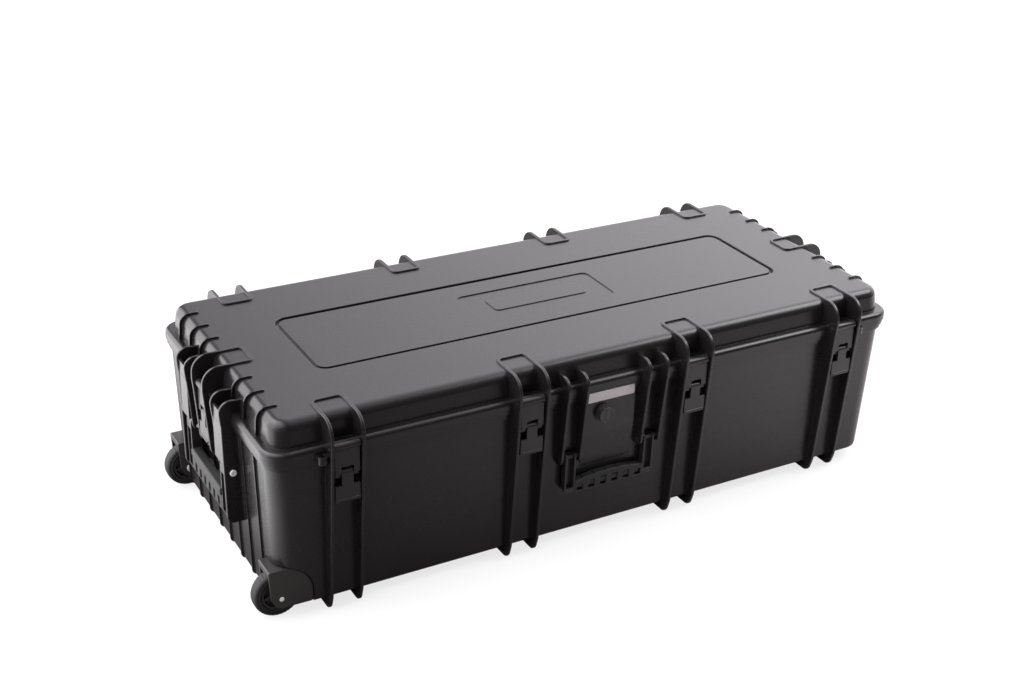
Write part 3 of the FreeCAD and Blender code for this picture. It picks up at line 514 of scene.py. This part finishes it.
for end in ("front", "back"):
    tyre(f"tyre_{end}", f"wheel_tyre_{end}", f"wheel_hub_{end}")
lid_foam()
floor_foam()
softened("liner_foam", "foam_liner", voxel=0.005, rounds=4, ripple=0.0009, ripple_size=0.05)
gasket()
softened("front_grip", "front_handle_grip", voxel=0.0005, rounds=2)
for end in ("left", "right"):
    softened(f"{end}_grip", f"{end}_handle_grip", voxel=0.0009, rounds=3)


# --- floor, light and camera --------------------------------------------------------------
def studio_floor():
    """Pale sweep, far wider than the picture; the case mirrors a darker one."""
    mesh = bpy.data.meshes.new("floor")
    corners = [(-1, -1), (1, -1), (1, 1), (-1, 1)]
    mesh.from_pydata([(FLOOR_REACH * x, FLOOR_REACH * y, 0) for x, y in corners], [], [(0, 1, 2, 3)])
    material = bpy.data.materials.new("floor_paint")
    g = Graph(material)
    place = g.add("TexCoord").outputs["Object"]
    seen = g.add("LightPath").outputs["Is Camera Ray"]
    spot = g.add("SeparateXYZ", Vector=place)
    x = spot.outputs["X"]
    y = spot.outputs["Y"]
    warm = (1.0, 0.94, 0.93)
    left, right = (rgb(tone, warm) for tone in MIRROR_TONES)
    mirrored = g.mix(g.between(x, -0.3, 0.6), left, right)
    mirrored = g.mix(g.between(y, -0.6, -1.2), mirrored, rgb(MIRROR_FAR, warm))
    tone = g.mix(seen, mirrored, rgb(FLOOR_TONE))
    bright = g.between(g.noise(place, 2.0, 3.0), 0.3, 0.7, *FLOOR_GLOW)
    beside = g.math("MULTIPLY", g.between(x, -0.53, -0.68, 0.0, LEFT_GLOW), g.between(y, -0.45, -0.1))
    glow = g.add("Mix", Factor=seen, A=beside, B=bright).outputs[0]
    g.finish(Base_Color=tone, Roughness=0.9, Specular_IOR_Level=0.0, Emission_Color=rgb(1.0),
             Emission_Strength=glow)
    mesh.materials.append(material)
    floor = bpy.data.objects.new("floor", mesh)
    bpy.context.scene.collection.objects.link(floor)


def studio_world():
    """Soft surround: bright above, behind and to both sides, dark towards the camera."""
    world = bpy.data.worlds.new("studio")
    bpy.context.scene.world = world
    g = Graph(world)
    toward = g.add("SeparateXYZ", Vector=g.add("TexCoord").outputs["Generated"])
    back = g.between(toward.outputs["Y"], -0.7, 0.4, 0.10, 1.2)
    right = g.between(toward.outputs["X"], 0.05, 0.75, 0.25, 3.1)
    left = g.between(toward.outputs["X"], -0.03, -0.28, 0.0, 4.2)
    sides = g.math("ADD", right, left)
    up = g.between(toward.outputs["Z"], 0.40, 0.62, 0.78, 1.35)
    strength = g.math("MULTIPLY", g.math("MULTIPLY", back, sides), up)
    shine = g.add("Background", Color=(0.975, 0.955, 1.0, 1.0), Strength=strength)
    g.tree.links.new(shine.outputs[0], g.add("OutputWorld").inputs["Surface"])


def lamp(name, place, target, size, power):
    """Square soft box aimed at a point."""
    light = bpy.data.lights.new(name, "AREA")
    light.size = size
    light.energy = power
    obj = bpy.data.objects.new(name, light)
    obj.location = place
    obj.rotation_euler = (Vector(target) - Vector(place)).to_track_quat("-Z", "Y").to_euler()
    bpy.context.scene.collection.objects.link(obj)


def camera():
    """Looks at the case from the front left, above."""
    lens = bpy.data.cameras.new("camera")
    lens.lens = CAMERA_LENS
    lens.sensor_width = 36.0
    lens.clip_start = 0.05
    lens.clip_end = 60.0
    obj = bpy.data.objects.new("camera", lens)
    obj.location = CAMERA_AT
    obj.rotation_euler = [math.radians(a) for a in CAMERA_TURN]
    bpy.context.scene.collection.objects.link(obj)
    bpy.context.scene.camera = obj


bpy.context.scene.view_settings.view_transform = "Standard"
studio_floor()
studio_world()
lamp("top_box", (2.0, -0.75, 2.2), (0, 0, 0), 1.4, 45)
lamp("left_box", (-3.2, 0.2, 1.0), (-0.4, 0, 0.2), 1.2, 8)
camera()
